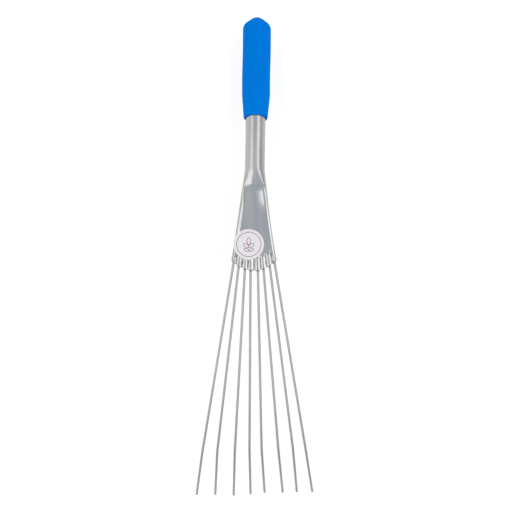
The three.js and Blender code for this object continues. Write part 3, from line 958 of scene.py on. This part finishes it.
def stroke(distance):
    """1 within half a print's width of zero distance, with a soft edge."""
    off = paper.math("SUBTRACT", PRINT_WIDTH_SHARE / 2, paper.math("ABSOLUTE", distance))
    sharpened = paper.math("MULTIPLY", off, PRINT_SHARPNESS)
    return paper.math("MAXIMUM", paper.math("MINIMUM", sharpened, 1.0), 0.0)


def leaf_outline(foot, length, heading):
    """A leaf on the label's middle line is where two circles overlap. Only its outline shows."""
    bow = length * LEAF_BOW_SHARE
    inset = sqrt(bow**2 - (length / 2) ** 2)
    side_u, side_v = inset * cos(heading + pi / 2), inset * sin(heading + pi / 2)
    middle_u, middle_v = length / 2 * cos(heading), foot + length / 2 * sin(heading)
    first = paper.math("SUBTRACT", distance_from(middle_u + side_u, middle_v + side_v), bow)
    second = paper.math("SUBTRACT", distance_from(middle_u - side_u, middle_v - side_v), bow)
    return stroke(paper.math("MAXIMUM", first, second))


ink = stroke(paper.math("SUBTRACT", distance_from(0.0, 0.0), RING_SHARE))
for (foot, length), heading in zip(LEAF_SHARES, LEAF_DEGREES):
    ink = paper.math("MAXIMUM", ink, leaf_outline(foot, length, radians(heading)))
printed = paper.blend(ink, PAPER, INK)
dullness = paper.span(paper.noise(PAPER_SCALE), *PAPER_ROUGHNESS)
paper.dress([label_piece], Base_Color=printed, Roughness=dullness)

# %% [markdown]
# The set is a plain photographer's table: a white sweep under the tool that glows a little for
# the camera, so that it stays white while the tool's soft shadow still falls on it. For the
# tool's matt pieces the same sweep is a grey one, which keeps their undersides from glowing.

# %% Floor
FLOOR_REACH = 3
FLOOR_DROP = 0.2 * MM
SWEEP_GREY = (0.25, 0.25, 0.25)
GLOW_STRENGTH = 0.85
BOUNCE_GREY = (0.4, 0.4, 0.4)

floor_mesh = bpy.data.meshes.new("floor")
signs = [(-1, -1), (1, -1), (1, 1), (-1, 1)]
floor_corners = [(x * FLOOR_REACH, y * FLOOR_REACH, 0) for x, y in signs]
floor_mesh.from_pydata(floor_corners, [], [(0, 1, 2, 3)])
floor = bpy.data.objects.new("floor", floor_mesh)
floor.location.z = -FLOOR_DROP
bpy.context.scene.collection.objects.link(floor)

sweep = Finish("white_sweep")
path = sweep.add("ShaderNodeLightPath").outputs
seen = sweep.math("MAXIMUM", path["Is Camera Ray"], path["Is Glossy Ray"])
seen = sweep.math("MAXIMUM", seen, path["Is Transmission Ray"])
shade = sweep.add("ShaderNodeBsdfDiffuse")
sweep.feed(SWEEP_GREY, shade.inputs["Color"])
glow = sweep.add("ShaderNodeEmission")
sweep.feed(GLOW_STRENGTH, glow.inputs["Strength"])
lit = sweep.add("ShaderNodeAddShader")
sweep.feed(shade.outputs[0], lit.inputs[0])
sweep.feed(glow.outputs[0], lit.inputs[1])
plain = sweep.add("ShaderNodeBsdfDiffuse")
sweep.feed(BOUNCE_GREY, plain.inputs["Color"])
choose = sweep.add("ShaderNodeMixShader")
for socket, value in zip(choose.inputs, (seen, plain.outputs[0], lit.outputs[0])):
    sweep.feed(value, socket)
sweep.feed(choose.outputs[0], sweep.tree.nodes["Material Output"].inputs["Surface"])
floor.data.materials.append(sweep.material)
print(f"floor {2 * FLOOR_REACH} m wide, {FLOOR_DROP / MM:.1f} mm below the tool")

# %% [markdown]
# The room's light comes from the world. Its colour depends only on the angle to the zenith
# seen along the tool: a cool dim ceiling straight above, white walls, and a dimmer wall on the
# right. Metal mirrors that room. Matt pieces are lit by one with a darker ceiling and brighter
# walls, and the camera sees plain white.

# %% World
WALLS = (0.95, 0.95, 0.95)
RIGHT_WALL = (0.55, 0.55, 0.59)
CEILING = (0.69, 0.755, 0.85)
MATT_WALLS = (1.33, 1.33, 1.33)
MATT_RIGHT_WALL = (1.2, 1.2, 1.2)
MATT_CEILING = (0.12, 0.12, 0.12)
WHITE = (1, 1, 1)
CEILING_START = radians(50)
CEILING_FULL = radians(25)
RIGHT_WALL_START = radians(35)
RIGHT_WALL_FULL = radians(55)

scene = bpy.context.scene
scene.world = bpy.data.worlds.new("studio")
scene.world.use_nodes = True
room = Nodes(scene.world.node_tree)
way = room.parts(room.add("ShaderNodeTexCoord").outputs["Generated"])
squares = [room.math("MULTIPLY", way[axis], way[axis]) for axis in "XZ"]
across = room.math("SQRT", room.math("ADD", *squares))
overhead, sideways = (room.math("DIVIDE", way[axis], across) for axis in "ZX")
on_ceiling = room.ramp(overhead, cos(CEILING_START), cos(CEILING_FULL))
on_right = room.ramp(sideways, sin(RIGHT_WALL_START), sin(RIGHT_WALL_FULL))
mirrored = room.blend(on_ceiling, room.blend(on_right, WALLS, RIGHT_WALL), CEILING)
matt = room.blend(on_ceiling, room.blend(on_right, MATT_WALLS, MATT_RIGHT_WALL), MATT_CEILING)
path = room.add("ShaderNodeLightPath").outputs
glossy = room.math("MAXIMUM", path["Is Glossy Ray"], path["Is Transmission Ray"])
unseen = room.blend(glossy, matt, mirrored)
shown = room.blend(path["Is Camera Ray"], unseen, WHITE)
room.feed(shown, room.tree.nodes["Background"].inputs["Color"])
print("world nodes:", len(room.tree.nodes))

# %% [markdown]
# Two long soft lights hang over the tool, one on each side. They draw the pair of bright lines
# down the tube and along the head's bevels.

# %% Lights
LIGHT_DISTANCE = 0.9
LIGHT_ANGLE = radians(37)
LIGHT_WIDTHS = (0.17, 0.24)
LIGHT_LENGTH = 1.5
LIGHT_RADIANCES = (1.9, 2.3)

for name, side, width, radiance in zip(
    ("left_light", "right_light"), (-1, 1), LIGHT_WIDTHS, LIGHT_RADIANCES
):
    lamp = bpy.data.lights.new(name, "AREA")
    lamp.shape = "RECTANGLE"
    lamp.size = width
    lamp.size_y = LIGHT_LENGTH
    lamp.energy = radiance * pi * width * LIGHT_LENGTH
    light = bpy.data.objects.new(name, lamp)
    light_x, light_z = side * LIGHT_DISTANCE * sin(LIGHT_ANGLE), LIGHT_DISTANCE * cos(LIGHT_ANGLE)
    light.location = (light_x, 0, light_z)
    light.rotation_euler = (0, side * LIGHT_ANGLE, 0)
    scene.collection.objects.link(light)
    print(name, "at", tuple(round(v, 2) for v in light.location))

# %% [markdown]
# The camera stands straight above the middle of the tool and close to it, square to the tool's
# own plane. Being so close it sees the near rim of the sleeve's mouth as an arc.

# %% Camera
FRAME_PIXELS = 512
CAMERA_DISTANCE_PIXELS = 340
PIXEL = 1.018 * MM
FAN_AXIS_PIXEL = 254.0
EDGE_PIXEL = 271.5
CENTRE_PIXEL = 256.0
SENSOR_MM = 36

camera_data = bpy.data.cameras.new("camera")
camera_data.sensor_width = SENSOR_MM
camera_data.lens = SENSOR_MM * CAMERA_DISTANCE_PIXELS / FRAME_PIXELS
camera = bpy.data.objects.new("camera", camera_data)
eye = (
    (CENTRE_PIXEL - FAN_AXIS_PIXEL) * PIXEL,
    (EDGE_PIXEL - CENTRE_PIXEL) * PIXEL,
    CAMERA_DISTANCE_PIXELS * PIXEL,
)
camera.matrix_world = tool_frame @ Matrix.Translation(eye)
scene.collection.objects.link(camera)
scene.camera = camera
scene.view_settings.view_transform = "Standard"
print("camera at", tuple(round(v, 3) for v in camera.matrix_world.translation))
